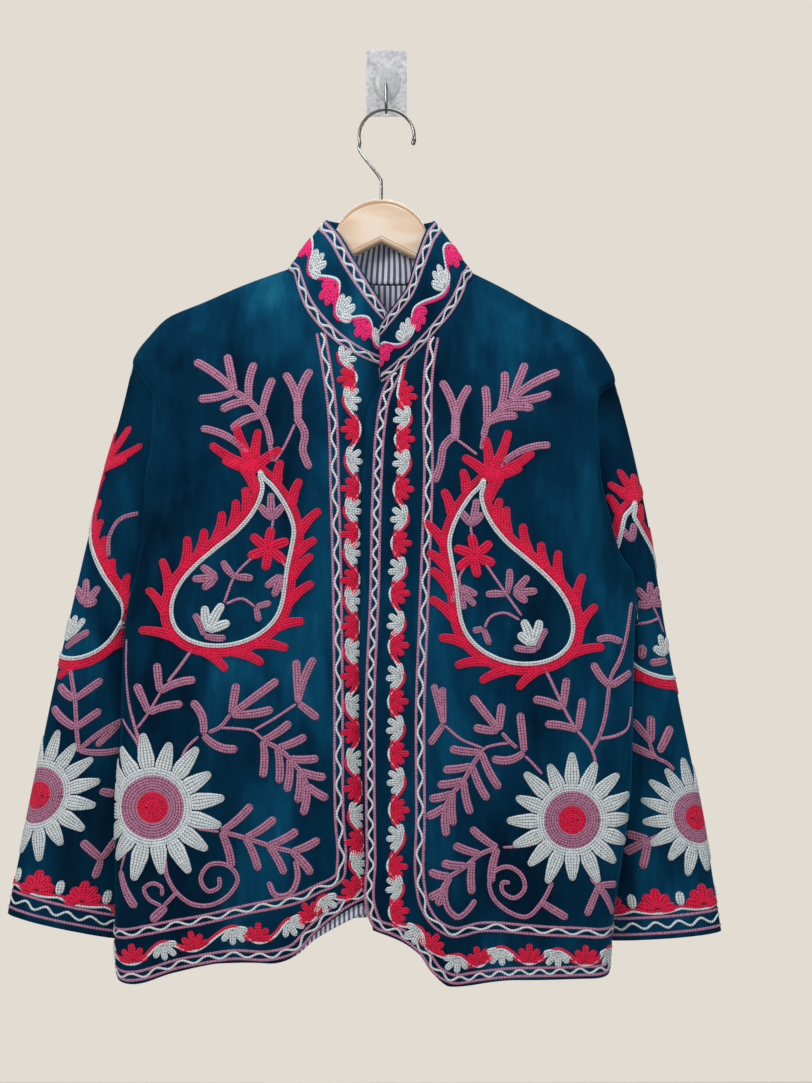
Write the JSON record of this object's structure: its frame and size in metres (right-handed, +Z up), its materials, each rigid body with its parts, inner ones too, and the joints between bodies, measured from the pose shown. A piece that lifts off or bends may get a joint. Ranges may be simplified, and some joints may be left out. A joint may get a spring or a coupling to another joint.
{
  "type": "velvet jacket on a wooden hanger",
  "caption": "Long-sleeved open-front velvet jacket with a stand collar, hanging on a wooden hanger from a flat stick-on wall hook.",
  "frame": {"origin": "middle of the wall plate's back face", "axes": "+X to the right seen from the front, +Y into the wall, +Z up"},
  "size_m": [0.7388, 0.0917, 0.9594],
  "materials": {
    "velvet": "soft pile",
    "lining": "plain cotton",
    "wood": "clear gloss lacquer",
    "steel": "polished",
    "clear_plastic": "clear gloss"
  },
  "bodies": {
    "root": {"right_front": "velvet", "left_front": "velvet", "back": "velvet", "right_sleeve": "velvet", "left_sleeve": "velvet", "collar": "velvet", "collar_lining": "lining", "back_lining": "lining", "hem_lining": "lining", "hanger_wood": "wood", "hanger_hook": "steel", "wall_plate": "clear_plastic", "wall_boss": "clear_plastic", "wall_hook": "steel"}
  },
  "joints": []
}
